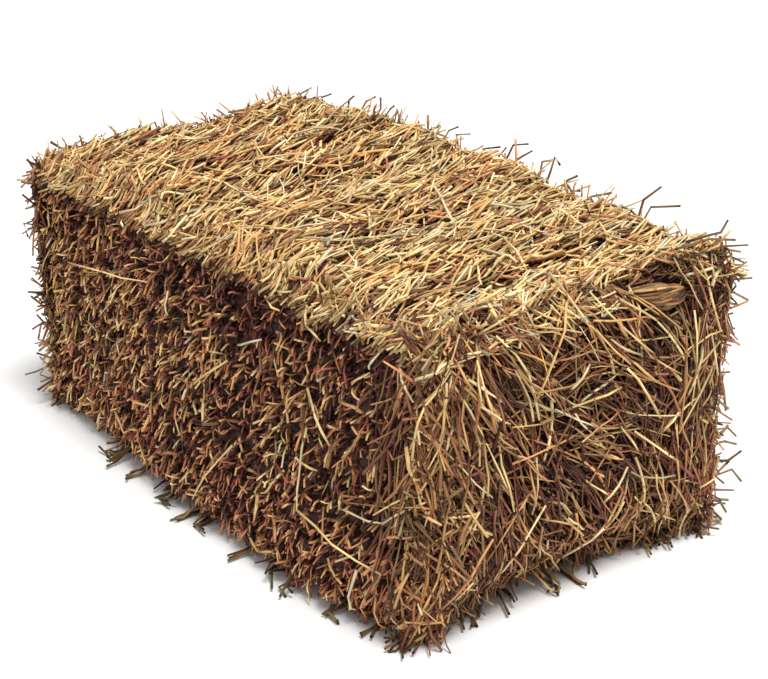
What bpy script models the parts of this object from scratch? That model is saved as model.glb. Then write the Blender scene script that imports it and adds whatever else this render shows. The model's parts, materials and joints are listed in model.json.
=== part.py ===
"""Square straw bale: fourteen pressed flakes of straw standing side by side along X.

X runs along the bale, Y across it and Z up, and the bale rests on Z = 0. The near end is at +X.
The straw lies mainly along Y, as a baler feeds it: its cut ends stand out of the two long sides,
its stems lie over the top, and the two ends show the flat of the outermost flakes.
"""

import math
import random

import bmesh
import bpy
from mathutils import Matrix, Vector, noise
from mathutils.bvhtree import BVHTree

# The pressed straw, in metres: a bale from a 14 x 18 inch chamber, cut off at about 34 inches.
WIDTH = 0.460
HEIGHT = 0.360

# Each flake from the far end to the near one: how thick it is, how far its top rises above HEIGHT,
# and how far its -Y side stands out beyond half of WIDTH.
FLAKES = (
    (0.052, 0.000, 0.004),
    (0.078, 0.002, 0.008),
    (0.071, 0.006, 0.011),
    (0.055, 0.012, 0.015),
    (0.084, 0.006, 0.021),
    (0.056, -0.003, 0.025),
    (0.041, 0.000, 0.027),
    (0.077, 0.003, 0.024),
    (0.049, 0.004, 0.018),
    (0.061, -0.002, 0.020),
    (0.067, 0.000, 0.025),
    (0.058, -0.004, 0.024),
    (0.045, -0.009, 0.019),
    (0.056, 0.002, 0.012),
)
LENGTH = sum(thickness for thickness, _, _ in FLAKES)

# Form of the pressed straw.
FLAKE_GAP = 0.0003
SHOULDER = 0.009  # width of the slope down to the neighbouring flake
GROOVE = 0.009  # depth of the groove between two flakes
GROUND_GROOVE = 0.0055  # the same on the flat underside
ACROSS_CUTS = 7  # facets across the width between the rounded edges
UP_CUTS = 6  # facets up the height between the rounded edges
TOP_EDGE_RADIUS = 0.030
BOTTOM_EDGE_RADIUS = 0.016
UNEVEN = 0.006  # how far the pressed surface rises and falls
UNEVEN_SCALE = 9.0  # hollows and humps to a metre
CRUMPLE = 0.0025
ON_FACE = 1e-5  # a point this near a face of the block lies on it

# The outer faces of the two end flakes, and the near end's drawn-in lower and right edges.
END_CROWN = 0.010
END_EDGE_PULL = 0.014
FOOT_PULL = 0.022
FOOT_HEIGHT = 0.070
RIGHT_PULL = 0.018

# All wisps: three-sided tapering tufts, each rooted in the pressed straw.
WISP_SIDES = 3
WISP_THIN = 0.0040  # radius
WISP_THICK = 0.0062
WISP_TAPER = 0.55
WISP_CLEARANCE = 0.002  # to the ground and to the neighbouring flake
ROW_JITTER = 0.8  # share of a row's or column's width in which its wisp may start

# Wisps of straw ends that stand out of the long sides.
SIDE_ROWS = 8
SIDE_FOOT = 0.012  # height of the lowest
SIDE_ROOT = 0.012
SIDE_SHORTEST = 0.012
SIDE_LONGEST = 0.027
SIDE_LEAN = 0.30
DROOP = 0.12

# Wisps that lie over the top, across the bale.
TOP_ROWS = 8
TOP_MARGIN = 0.025
TOP_SHORTEST = 0.050
TOP_LONGEST = 0.080
TOP_PITCH = 0.27
TOP_PITCH_VARIES = 0.14
TOP_ROOT = 0.013
TOP_TURNED = 0.2  # share of them that point to -Y instead of +Y
TOP_DRIFT = (-0.1, 0.5)  # how far they slant to -X, for each unit of length
TOP_BEYOND = 0.022

# Wisps that lie on the two ends, and the slant that they follow on the near one.
END_WISPS = 35
END_COLUMNS = 8
END_MARGIN = 0.036
END_SHORTEST = 0.055
END_LONGEST = 0.130
END_ROOT = 0.007
END_LIFT = 0.20
END_BEYOND = 0.012
NEAR_SLANT = -42.0  # degrees from +Y in the middle of the near end
NEAR_SLANT_SIDES = -84.0  # and at its left and right edges
NEAR_SLANT_VARIES = 24.0

# The hollow under the near end's top edge, and the wisp that is rolled over it.
POCKET_CENTRE = Vector((0.440, 0.104, 0.333))
POCKET_RADII = Vector((0.036, 0.044, 0.014))
POCKET_MARGIN = 0.011  # kept free of stems round it
POCKET_SEGMENTS = 14
LIP_RADIUS = 0.010
LIP_LENGTH = 0.150
LIP_RISE = 0.021
LIP_BEHIND = 0.018

STRAW_COLOUR = (0.50, 0.33, 0.13)
STRAW_ROUGHNESS = 0.62
TONE_VARIES = 0.12
SEED = 14


def clear_scene():
    for obj in list(bpy.data.objects):
        bpy.data.objects.remove(obj, do_unlink=True)


def new_collection(name):
    collection = bpy.data.collections.new(name)
    bpy.context.scene.collection.children.link(collection)
    return collection


def straw_material(name, tone):
    material = bpy.data.materials.new(name)
    material.use_nodes = True
    shader = material.node_tree.nodes["Principled BSDF"]
    shader.inputs["Base Color"].default_value = (*[c * tone for c in STRAW_COLOUR], 1.0)
    shader.inputs["Roughness"].default_value = STRAW_ROUGHNESS
    shader.inputs["Metallic"].default_value = 0.0
    return material


def add_object(name, bm, collection):
    mesh = bpy.data.meshes.new(name)
    bm.to_mesh(mesh)
    bm.free()
    obj = bpy.data.objects.new(name, mesh)
    collection.objects.link(obj)
    return obj


def even_places(low, high, cuts):
    return [low + (high - low) * i / cuts for i in range(cuts + 1)]


def slice_across(bm, axis, places):
    """Cuts every face of bm along the planes at these places on one axis."""
    normal = Vector((0, 0, 0))
    normal[axis] = 1
    for place in places:
        geometry = bm.verts[:] + bm.edges[:] + bm.faces[:]
        bmesh.ops.bisect_plane(bm, geom=geometry, plane_co=normal * place, plane_no=normal)


def block(low_x, high_x):
    """A box as large as one flake, sliced at its shoulders and edges and into even facets."""
    bm = bmesh.new()
    bmesh.ops.create_cube(bm, size=1)
    size = Vector((high_x - low_x, WIDTH, HEIGHT))
    middle = Vector(((low_x + high_x) / 2, 0, HEIGHT / 2))
    for vert in bm.verts:
        vert.co = middle + Vector([vert.co[i] * size[i] for i in range(3)])
    edge_y = WIDTH / 2 - TOP_EDGE_RADIUS
    slice_across(bm, 0, (low_x + SHOULDER, high_x - SHOULDER))
    slice_across(bm, 1, even_places(-edge_y, edge_y, ACROSS_CUTS))
    slice_across(bm, 2, even_places(BOTTOM_EDGE_RADIUS, HEIGHT - TOP_EDGE_RADIUS, UP_CUTS))
    return bm


def rounded(y, z):
    """A point of the cross-section, with the bale's four long edges rounded."""
    radius = TOP_EDGE_RADIUS if z > HEIGHT / 2 else BOTTOM_EDGE_RADIUS
    edge_y = WIDTH / 2 - TOP_EDGE_RADIUS
    inner_y = max(-edge_y, min(edge_y, y))
    inner_z = max(radius, min(HEIGHT - radius, z))
    offset = Vector(((y - inner_y) / TOP_EDGE_RADIUS, (z - inner_z) / radius))
    if offset.x and offset.y:
        offset *= max(abs(offset.x), abs(offset.y)) / offset.length
    return inner_y + offset.x * TOP_EDGE_RADIUS, inner_z + offset.y * radius


def end_bulge(y, z, outer):
    """How far the outer face of an end flake stands out at a point of it."""
    across = min(1.0, abs(2 * y / WIDTH))
    upward = min(1.0, abs(2 * z / HEIGHT - 1))
    bulge = END_CROWN * (1 - across**4) * (1 - upward**4)
    return bulge + UNEVEN * noise.noise(Vector((y, z, outer)) * UNEVEN_SCALE)


def press(bm, low_x, high_x, outer, rise, stand_out, rng):
    """Gives the sliced block the form of one pressed flake. outer is -1 or 1 on an end flake, else 0."""
    for vert in bm.verts:
        x, y, z = vert.co
        at_low = x < low_x + ON_FACE
        at_high = x > high_x - ON_FACE
        on_outer = (outer < 0 and at_low) or (outer > 0 and at_high)
        on_side = abs(y) > WIDTH / 2 - ON_FACE
        on_top = z > HEIGHT - ON_FACE
        on_ground = z < ON_FACE
        height = z / HEIGHT
        side = math.copysign(1, y)
        y, z = rounded(y, z)
        lift = UNEVEN * noise.noise(Vector((x, y, z)) * UNEVEN_SCALE) + rng.uniform(-CRUMPLE, CRUMPLE)
        if on_outer:
            lift -= END_EDGE_PULL
        elif at_low or at_high:
            lift -= GROOVE
        if on_side:
            y += side * lift
        if on_side and side < 0:
            y -= stand_out * math.sqrt(max(0.0, 1 - height))
        if on_side and side > 0 and outer > 0:
            y -= RIGHT_PULL * math.sin(math.pi * height)
        if on_top:
            z += lift + rise
        if on_ground and (at_low or at_high):
            z += GROUND_GROOVE
        if on_outer:
            x += outer * (end_bulge(y, z, outer) + rng.uniform(-CRUMPLE, CRUMPLE))
        if outer > 0 and x > (low_x + high_x) / 2:
            x -= FOOT_PULL * max(0.0, 1 - z / FOOT_HEIGHT) ** 2
        vert.co = (x, y, z)


def join_flat_face(bm, x):
    """Makes one face of all those that lie in the plane at x, where a flake meets its neighbour."""
    faces = [f for f in bm.faces if all(abs(v.co.x - x) < ON_FACE for v in f.verts)]
    bmesh.ops.dissolve_faces(bm, faces=faces, use_verts=True)


def add_wisp(bm, root, tip, radius, rng):
    """A tapering wisp from root to tip, kept clear of the ground."""
    clearance = radius + WISP_CLEARANCE
    root = Vector((root.x, root.y, max(root.z, clearance)))
    tip = Vector((tip.x, tip.y, max(tip.z, clearance)))
    along = tip - root
    turned = along.to_track_quat("Z", "Y").to_matrix().to_4x4()
    place = Matrix.Translation((root + tip) / 2) @ turned @ Matrix.Rotation(rng.uniform(0, math.tau), 4, "Z")
    bmesh.ops.create_cone(
        bm,
        cap_ends=True,
        segments=WISP_SIDES,
        radius1=radius,
        radius2=radius * WISP_TAPER,
        depth=along.length,
        matrix=place,
    )


def between(low, high, value):
    return max(low, min(high, value))


def jittered(row, rows, rng):
    """A place from 0 to 1 inside the given row of that many."""
    return (row + 0.5 + rng.uniform(-0.5, 0.5) * ROW_JITTER) / rows


def inside_flake(x, low_x, high_x):
    """x, kept so far from the neighbouring flakes that a wisp there clears them."""
    margin = WISP_THICK + WISP_CLEARANCE / 2
    return between(low_x + margin, high_x - margin, x)


def side_wisps(bm, pressed, low_x, high_x, side, rng):
    """Straw ends along one long side of a flake, in uneven rows."""
    for row in range(SIDE_ROWS):
        z = SIDE_FOOT + jittered(row, SIDE_ROWS, rng) * (HEIGHT - TOP_EDGE_RADIUS)
        x = rng.uniform(low_x + SHOULDER, high_x - SHOULDER)
        face = pressed.ray_cast(Vector((x, side, z)), Vector((0, -side, 0)))[0]
        out = rng.uniform(SIDE_SHORTEST, SIDE_LONGEST)
        lean_x = rng.uniform(-SIDE_LEAN, SIDE_LEAN) * (out + SIDE_ROOT)
        lean_z = (rng.uniform(-SIDE_LEAN, SIDE_LEAN) - DROOP) * (out + SIDE_ROOT)
        root = Vector((x, face.y - side * SIDE_ROOT, z))
        tip = Vector((inside_flake(x + lean_x, low_x, high_x), face.y + side * out, z + lean_z))
        add_wisp(bm, root, tip, rng.uniform(WISP_THIN, WISP_THICK), rng)


def top_wisps(bm, pressed, low_x, high_x, rng):
    """Stems that lie across the top of a flake and end a little above it."""
    for row in range(TOP_ROWS):
        y = (jittered(row, TOP_ROWS, rng) - 0.5) * (WIDTH - 2 * TOP_MARGIN)
        x = rng.uniform(low_x + SHOULDER, high_x - SHOULDER)
        face = pressed.ray_cast(Vector((x, y, 1)), Vector((0, 0, -1)))[0]
        length = rng.uniform(TOP_SHORTEST, TOP_LONGEST)
        way = -1 if rng.random() < TOP_TURNED else 1
        pitch = TOP_PITCH + rng.uniform(0, TOP_PITCH_VARIES)
        root = face - Vector((0, 0, TOP_ROOT))
        tip_x = inside_flake(x - rng.uniform(*TOP_DRIFT) * length, low_x, high_x)
        tip_y = between(-WIDTH / 2, WIDTH / 2 + TOP_BEYOND, y + way * length)
        tip = Vector((tip_x, tip_y, root.z + pitch * length))
        add_wisp(bm, root, tip, rng.uniform(WISP_THIN, WISP_THICK), rng)


def end_slant(y, outer, rng):
    """The angle from +Y, in radians, of a stem on the outer face of an end flake."""
    if outer < 0:
        return rng.uniform(0, math.pi)
    sideways = min(1.0, abs(2 * y / WIDTH))
    slant = NEAR_SLANT + (NEAR_SLANT_SIDES - NEAR_SLANT) * sideways
    return math.radians(slant + rng.uniform(-NEAR_SLANT_VARIES, NEAR_SLANT_VARIES))


def over_pocket(root, tip):
    """Whether a stem from root to tip would run across the pocket."""
    steps = 8
    for step in range(steps + 1):
        offset = root.lerp(tip, step / steps) - POCKET_CENTRE
        if all(abs(offset[i]) < POCKET_RADII[i] + POCKET_MARGIN for i in (1, 2)):
            return True
    return False


def end_wisps(bm, pressed, outer, rng):
    """Stems that lie on the outer face of an end flake: one end in the straw, the other a little off it."""
    inward = Vector((-outer, 0, 0))
    rows = math.ceil(END_WISPS / END_COLUMNS)
    for number in range(END_WISPS):
        y = (jittered(number % END_COLUMNS, END_COLUMNS, rng) - 0.5) * (WIDTH - 2 * END_MARGIN)
        z = END_MARGIN + jittered(number // END_COLUMNS, rows, rng) * (HEIGHT - 2 * END_MARGIN)
        slant = end_slant(y, outer, rng)
        half = rng.choice((-1, 1)) * rng.uniform(END_SHORTEST, END_LONGEST) / 2
        along = Vector((0, math.cos(slant) * half, math.sin(slant) * half))
        middle = pressed.ray_cast(Vector((outer, y, z)), inward)[0]
        root = Vector((outer, y, z)) - along
        root.y = between(END_MARGIN - WIDTH / 2, WIDTH / 2 - END_MARGIN - RIGHT_PULL, root.y)
        root.z = between(END_MARGIN, HEIGHT - END_MARGIN, root.z)
        root.x = pressed.ray_cast(root, inward)[0].x - outer * END_ROOT
        tip = middle + along
        tip.x += outer * END_LIFT * abs(half)
        tip.y = between(-WIDTH / 2 - END_BEYOND, WIDTH / 2 + END_BEYOND, tip.y)
        tip.z = between(END_BEYOND, HEIGHT + END_BEYOND, tip.z)
        if outer > 0 and over_pocket(root, tip):
            continue
        add_wisp(bm, root, tip, rng.uniform(WISP_THIN, WISP_THICK), rng)


def rolled_lip(bm, rng):
    """The wisp that is rolled over the pocket: two tufts that cross over its middle."""
    middle = POCKET_CENTRE + Vector((-LIP_BEHIND, 0, LIP_RISE))
    for side in (-1, 1):
        root = middle + Vector((-0.5, -2 * side, -0.25 * side)) * LIP_RADIUS
        tip = middle + Vector((0, side * LIP_LENGTH / 2, (0.25 * side - 0.5) * LIP_RADIUS))
        add_wisp(bm, root, tip, LIP_RADIUS, rng)


def pocket_cutter(cutters):
    bm = bmesh.new()
    place = Matrix.Translation(POCKET_CENTRE) @ Matrix.Diagonal((*POCKET_RADII, 1))
    bmesh.ops.create_uvsphere(
        bm, u_segments=POCKET_SEGMENTS, v_segments=POCKET_SEGMENTS // 2, radius=1, matrix=place
    )
    return add_object("pocket_cutter", bm, cutters)


def combine(target, other, operation):
    """Joins other to target, or cuts it from target, and keeps other out of the render."""
    other.hide_render = True
    other.display_type = "WIRE"
    step = target.modifiers.new(other.name, "BOOLEAN")
    step.operation = operation
    step.solver = "EXACT"
    step.use_self = operation == "UNION"
    step.object = other


def make_flake(number, low_x, high_x, rng, bale, cutters):
    """One flake and the wisps that grow from it."""
    _, rise, stand_out = FLAKES[number - 1]
    outer = {1: -1, len(FLAKES): 1}.get(number, 0)
    name = f"flake_{number:02d}"
    bm = block(low_x, high_x)
    press(bm, low_x, high_x, outer, rise, stand_out, rng)
    if outer >= 0:
        join_flat_face(bm, low_x)
    if outer <= 0:
        join_flat_face(bm, high_x)
    pressed = BVHTree.FromBMesh(bm)
    flake = add_object(name, bm, bale)
    tone = 1 + rng.uniform(-TONE_VARIES, TONE_VARIES)
    flake.data.materials.append(straw_material(name + "_straw", tone))

    bm = bmesh.new()
    side_wisps(bm, pressed, low_x, high_x, -1, rng)
    side_wisps(bm, pressed, low_x, high_x, 1, rng)
    top_wisps(bm, pressed, low_x, high_x, rng)
    if outer:
        end_wisps(bm, pressed, outer, rng)
    if outer > 0:
        rolled_lip(bm, rng)
    combine(flake, add_object(name + "_wisps", bm, cutters), "UNION")
    if outer > 0:
        combine(flake, pocket_cutter(cutters), "DIFFERENCE")


def centre_over_origin(straw, others):
    """Moves the whole bale level, so that the middle of the straw's box lies over the origin."""
    points = [vert.co for obj in straw for vert in obj.data.vertices]
    middle = [(min(p[i] for p in points) + max(p[i] for p in points)) / 2 for i in (0, 1)]
    for obj in straw + others:
        obj.data.transform(Matrix.Translation((-middle[0], -middle[1], 0)))


def main():
    clear_scene()
    bale = new_collection("straw_bale")
    cutters = new_collection("cutters")
    rng = random.Random(SEED)
    x = -LENGTH / 2
    for number, (thickness, _, _) in enumerate(FLAKES, start=1):
        make_flake(number, x + FLAKE_GAP / 2, x + thickness - FLAKE_GAP / 2, rng, bale, cutters)
        x += thickness
    pockets = [obj for obj in cutters.objects if obj.name.startswith("pocket")]
    wisps = [obj for obj in cutters.objects if obj not in pockets]
    centre_over_origin(list(bale.objects) + wisps, pockets)


main()
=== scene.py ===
"""Looks of the square straw bale: the loose straw on every side of its fourteen flakes.

Each flake of the frame is replaced by one joined mesh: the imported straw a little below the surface,
and on it thousands of separate stems, each a thin bent tube. Lengths are in metres and angles in
degrees. X runs along the bale, Y across it and Z up, and the near end is at +X.
"""

import json
import math
from typing import NamedTuple

import bpy
import numpy as np
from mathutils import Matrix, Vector
from mathutils.bvhtree import BVHTree
from mathutils.kdtree import KDTree

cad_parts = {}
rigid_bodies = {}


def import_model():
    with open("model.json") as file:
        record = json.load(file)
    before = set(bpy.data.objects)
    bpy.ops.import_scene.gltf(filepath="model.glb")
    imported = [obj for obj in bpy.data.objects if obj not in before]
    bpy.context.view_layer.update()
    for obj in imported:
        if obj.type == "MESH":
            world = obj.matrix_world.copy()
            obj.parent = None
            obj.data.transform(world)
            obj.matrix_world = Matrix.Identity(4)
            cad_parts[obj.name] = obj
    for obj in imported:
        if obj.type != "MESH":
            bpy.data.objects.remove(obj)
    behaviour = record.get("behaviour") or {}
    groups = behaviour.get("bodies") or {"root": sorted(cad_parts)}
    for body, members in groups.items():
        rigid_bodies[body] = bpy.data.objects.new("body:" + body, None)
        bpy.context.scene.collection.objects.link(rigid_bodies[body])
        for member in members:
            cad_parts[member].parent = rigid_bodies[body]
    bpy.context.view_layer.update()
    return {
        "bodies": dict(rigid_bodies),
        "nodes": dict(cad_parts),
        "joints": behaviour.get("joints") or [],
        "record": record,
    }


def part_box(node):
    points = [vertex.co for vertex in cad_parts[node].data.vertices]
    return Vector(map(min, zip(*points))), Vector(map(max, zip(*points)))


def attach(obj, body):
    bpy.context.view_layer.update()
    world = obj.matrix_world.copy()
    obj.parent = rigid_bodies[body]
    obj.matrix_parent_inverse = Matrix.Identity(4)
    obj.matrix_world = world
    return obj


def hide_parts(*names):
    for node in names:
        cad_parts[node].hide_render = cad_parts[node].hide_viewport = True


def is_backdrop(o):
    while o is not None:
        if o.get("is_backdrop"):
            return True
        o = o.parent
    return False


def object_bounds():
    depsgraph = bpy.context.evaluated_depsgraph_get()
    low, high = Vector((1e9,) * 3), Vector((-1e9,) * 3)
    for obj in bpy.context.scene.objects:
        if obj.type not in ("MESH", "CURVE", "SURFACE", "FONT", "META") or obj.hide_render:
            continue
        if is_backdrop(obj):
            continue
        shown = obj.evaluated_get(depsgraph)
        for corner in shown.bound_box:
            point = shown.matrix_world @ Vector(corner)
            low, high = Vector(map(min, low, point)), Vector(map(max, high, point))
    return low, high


SEED = 7
CM2 = 1e-4

# Camera of the photograph: where it looks, from where, and how far it is zoomed in.
IMAGE_WIDTH = 768
IMAGE_HEIGHT = 679
CAMERA_TARGET = np.array([0.0529, 0.0135, 0.180])
CAMERA_AZIMUTH = 51.883
CAMERA_ELEVATION = 22.695
CAMERA_DISTANCE = 2.1546
FOCAL_PIXELS = 1728.8
SENSOR = 36.0

# Studio.
FLOOR_SIZE = 40.0
FLOOR_COLOUR = (0.90, 0.90, 0.89, 1.0)
SUN_DIRECTION = (0.36, -0.02, 1.0)  # from the bale towards the light
SUN_ANGLE = 22.0
SUN_STRENGTH = 3.0
SKY_STRENGTH = 0.55

# How the pressed surface is found: rays on an even grid, then tufts levelled off.
GRID = 0.008
RAY_START = 2.0  # well outside the bale
TUFTS = 0.030  # the most that a tuft stands out of the pressed straw
EDGE_FALL = 0.015  # the most that the straw's edges lie below a side, as loose ends fill them out
LEVEL_REACH = 2  # cells on each side of the levelling window
LEVEL_SHARE = 32  # percentile that is taken for the surface
LAST_CELL = 1.001  # cells from the end of the grid, so that a place on its last line has a next one
PACKED_DEPTH = 0.013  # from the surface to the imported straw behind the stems
PACKED_ROUGH = 0.003
PACKED_WAVES = (900, 700)  # radians a metre, along its two axes
PACKED_CELL = 0.016
PACKED_PATCH = 0.1  # the share of a stem's length that each cell shows
PACKED_INSET = 0.020  # from the edges of a side to its packed straw
BED_INSET = 0.009  # and to its deepest stems
ROUNDED = 0.036  # how far in from an edge the straw begins to round off
ROUNDED_FALL = 0.009

# Where the photographed bale is out of true: the axis of the shift, its size, and the middle and
# the half sizes of the part that it moves.
SHIFTS = (
    (1, -0.018, (0.15, -0.23, 0.03), (0.22, 0.10, 0.12)),  # the left side bulges near the floor
    (0, -0.030, (0.43, -0.03, 0.00), (0.12, 0.16, 0.07)),  # the near end is rounded off below
    (2, 0.013, (0.43, -0.03, 0.00), (0.10, 0.16, 0.07)),
    (1, -0.013, (0.43, 0.24, 0.14), (0.15, 0.06, 0.16)),  # its right edge is drawn in
    (0, 0.020, (-0.43, -0.23, 0.10), (0.10, 0.10, 0.20)),  # so is the far end's left edge
    (2, 0.012, (-0.08, 0.24, 0.36), (0.22, 0.10, 0.10)),  # the top is full along the right
    (2, -0.012, (-0.43, -0.23, 0.36), (0.10, 0.10, 0.10)),  # and low at the far end
    (2, -0.012, (-0.43, 0.05, 0.36), (0.08, 0.08, 0.10)),
)

# Colour rows. A stem's row says how light it is and of which hue, and the material reads it
# from the second texture coordinate. The first one runs along the stem.
TONES = 24
HUES = 16
ROWS = TONES * HUES
ROW_INSET = 0.12  # kept clear at both edges of a row
# painted shade: the packed straw behind the stems is nearly black, as the shade deep among them
PACKED_SHADE_TONE = 0.09
# painted shade: the inside of an open stem end is black
HOLLOW_SHADE_TONE = 0.0
OLIVE, CREAM, STRAW, GOLD, ORANGE, RUSSET = 0.0, 0.10, 0.30, 0.52, 0.72, 1.0
HUE_COLOURS = (
    (OLIVE, (0.46, 0.42, 0.20)),
    (CREAM, (0.84, 0.70, 0.46)),
    (STRAW, (0.87, 0.655, 0.29)),
    (GOLD, (0.82, 0.475, 0.18)),
    (ORANGE, (0.66, 0.275, 0.130)),
    (RUSSET, (0.48, 0.135, 0.090)),
)
DARKEST = 0.10
LIGHTEST = 1.11

# How the straw material varies along and around a stem, and the steps from one row's pattern to the next.
BLOTCHES_ALONG = 5.0
BLOTCH_LIGHT = (0.72, 1.18)
LINES_ALONG = 3.0
LINES_AROUND = 16.0
LINE_LIGHT = (0.78, 1.16)
LINE_RELIEF = 0.6
ROOT_SHADE = (0.30, 1.20)  # from the root to the tip: painted shade at the root, which lies deep in the bale, up to the straw's own paler tip
ROOT_END = 0.95
JOINT_EDGES = (0.006, 0.022)
JOINT_BROWN = 0.8
JOINT_RELIEF = 0.8
SPOT_EDGES = (0.62, 0.74)
SPOT_BROWN = 0.45
BROWNER = (0.62, 0.42, 0.30)
ROW_STEP_BLOTCH = 7.31
ROW_STEP_LINES = 53.7
ROW_STEP_JOINT = 0.3819
STRAW_SPECULAR = 0.25
STRAW_ROUGHNESS = (0.60, 0.40)
BUMP_STRENGTH = 0.5
BUMP_DISTANCE = 0.0004

# All stems.
ALLOWANCE = 0.007  # how far a stem may pass the frame's box
THIN = 0.0010  # radius
THICK = 0.0025
THICKNESS_BETA = (1.6, 2.2)
SWELL = 0.10  # how much a stem's radius varies along it
TAPER = 0.16
SWELL_LIMITS = (0.55, 1.25)
TWIST = 1.2  # radians, at most
STEEP = 0.8  # how upright a stem is before its sides are found from another axis
TINY = 1e-9
FLOOR_CLEARANCE = 1.05  # of a stem's middle line, in radii
ROUNDNESS = (0.6, 1.0)  # height for width of a stem that is no blade
BLADE_SHARE = 0.05  # flat leaf blades among the stems
BLADE_RADIUS = 0.0024
BLADE_VARIES = (0.7, 1.2)
BLADE_FLATNESS = 0.16
HOLLOW_DEPTH = 1.4  # of an open stem end, in radii
HOLLOW_WIDTH = 0.6
DARK_ENDS = 0.5  # the share of the other ends that are painted with a hollow's shade, so that they look open
END_CIRCLE = 0.4  # the size of an end on the texture
LYING_START = 0.45  # the texture's place of a lying stem's root, past the painted shade at a standing one's root
OVERHANG = 0.006  # how far a lying stem may pass an edge, on average
MOST_OVERHANG = 0.020
CURL_SHORTENS = 0.25  # how much less a curled stem stands out

# Wisps: neighbouring stems share a lie and a colour.
WISP_GATHER = 0.32  # how far stems are drawn to the middle of their wisp
WISP_LIFT = 0.0028
LYING_LEANS = (0.6, 0.8)  # how much of a stem's lean is its wisp's, and how much is its own
STANDING_LEANS = (0.7, 0.7)
WISP_TONE = 0.09
WISP_HUE = 0.07
PALER = 0.50  # how much yellower a stem is for being lighter than its layer
SHADE_HUE = 1.2  # how much redder it is for the painted shade and darker tone of its place
TONE_PATCHES = (0.05, 0.08, 0.9)  # how much the tone varies over the bale, a patch's size and its phase
HUE_PATCHES = (0.06, 0.12, 3.1)


class Layer(NamedTuple):
    """A layer of stems on one side. A lying stem has a length, a standing one a depth below the surface."""

    per_cm2: float = 0.0
    root: tuple = (0.0, 0.0)  # where its root lies, measured outwards from the surface
    tip: tuple = (0.0, 0.0)
    tone: float = 0.0
    hue: float = 0.0
    length: tuple = (0.0, 0.0)
    tone_varies: float = 0.10
    hue_varies: float = 0.12
    wander: float = 20.0  # degrees, or for a standing stem its lean for each unit of length
    bow: float = 0.045  # how far it is bent sideways, for each unit of length
    kink: float = 0.013  # and how far each of its rings is off that bow
    stays: float = 0.0  # the share that stays in its flake
    rings: int = 4
    sides: int = 4
    hollow: bool = False
    open_root: bool = False
    thin: float = THIN
    thick: float = THICK
    flatness: float = 0.0  # of every stem, or 0 for round stems and blades
    bed: bool = False  # a deep layer, painted darkest as the shade among the stems, which also lines the near end's hollow


# The two long sides: cut ends that stand out and droop, with folded stems among them.
SIDE_WISP = (0.012, 0.016)
DROOP = 0.14
DROOP_CURL = 0.42
CURL_VARIES = 0.48
# The deeper layers have darker, redder tones: painted shade of the depth among the stems.
SIDE_LAYERS = (
    Layer(2.0, (-0.022, -0.022), (-0.014, -0.005), 0.02, 0.96, wander=0.25, stays=0.9, rings=2, sides=3,
          open_root=True, bed=True),
    Layer(1.1, (-0.018, -0.018), (-0.006, 0.001), 0.20, 0.94, wander=0.30, stays=0.9, sides=3,
          open_root=True),
    Layer(1.02, (-0.011, -0.011), (-0.002, 0.006), 0.56, 0.82, wander=0.28, stays=0.9, tone_varies=0.20,
          open_root=True, thick=0.0021),
    Layer(0.38, (-0.008, -0.008), (0.001, 0.010), 0.95, 0.52, wander=0.36, tone_varies=0.18, open_root=True,
          hollow=True, thick=0.0019),
)
FOLDED_LAYER = Layer(
    0.10, (-0.006, 0.001), (0.001, 0.009), 0.44, 0.60, length=(0.014, 0.038), tone_varies=0.20, wander=45.0
)
FOLDED_ANGLE = -90.0
EDGE_SHADE = 0.08  # painted shade under the top's overhang: how much darker the straw is just below the top edge
EDGE_SHADE_HEIGHT = 0.86
EDGE_SHADE_WIDTH = 0.10
SEAM_SHADE = 0.14  # painted shade in the crevice: how much darker it is where two flakes meet
SEAM_WIDTH = 0.007
FLAKE_TONE = 0.035  # how much the flakes differ
FAR_LIGHT = 0.18  # painted light: how much lighter the long sides are towards the far end
FAR_LIGHT_X = -0.20

# Right at an edge the painted shade of the deep layers is lifted, for deep straw there lies in the open and is
# as light and yellow as the loose straw.
EDGE_LIGHT = 0.30
EDGE_HUE = 0.25
EDGE_LIGHT_WIDTH = 0.014

# Loose tips that stand out of the bale's twelve edges.
STRAY_PER_METRE = 130
STRAY_LAYER = Layer(
    root=(-0.004, 0.008), tone=0.40, hue=0.60, length=(0.012, 0.030), tone_varies=0.20, thick=0.0020
)
STRAY_TOP_TONE = 0.16  # how much lighter they are along the top
STRAY_GROUND_SHARE = 1.9  # how many more there are along the floor
STRAY_GROUND_TONE = 0.08  # and how much darker those are
STRAY_ANGLES = (-25.0, 115.0)  # from the one side's outward direction towards the other's
STRAY_SLANT = 0.45  # along the edge
STRAY_CURL = 0.35

# Pale stems that bend over the long top edges.
FRINGE_COUNT = 80
FRINGE_START = (-0.020, 0.004)
FRINGE_ANGLE = -90.0
FRINGE_LAYER = Layer(
    root=(0.0, 0.006), tip=(0.004, 0.014), tone=0.62, hue=0.34, length=(0.012, 0.032), tone_varies=0.14,
    wander=42.0, bow=0.12, kink=0.03
)

# The top: stems across the bale, each with its +Y end a little off it.
TOP_WISP = (0.011, 0.040)
TOP_ANGLE = 98.0  # degrees from +X, halfway along the bale
TOP_TURN = -7.0  # how much more at the near end, and less at the far one
TURNED_BACK = 0.22
TOP_FADE = 0.060  # how much lighter the top is at the near end, and darker at the far one
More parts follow.
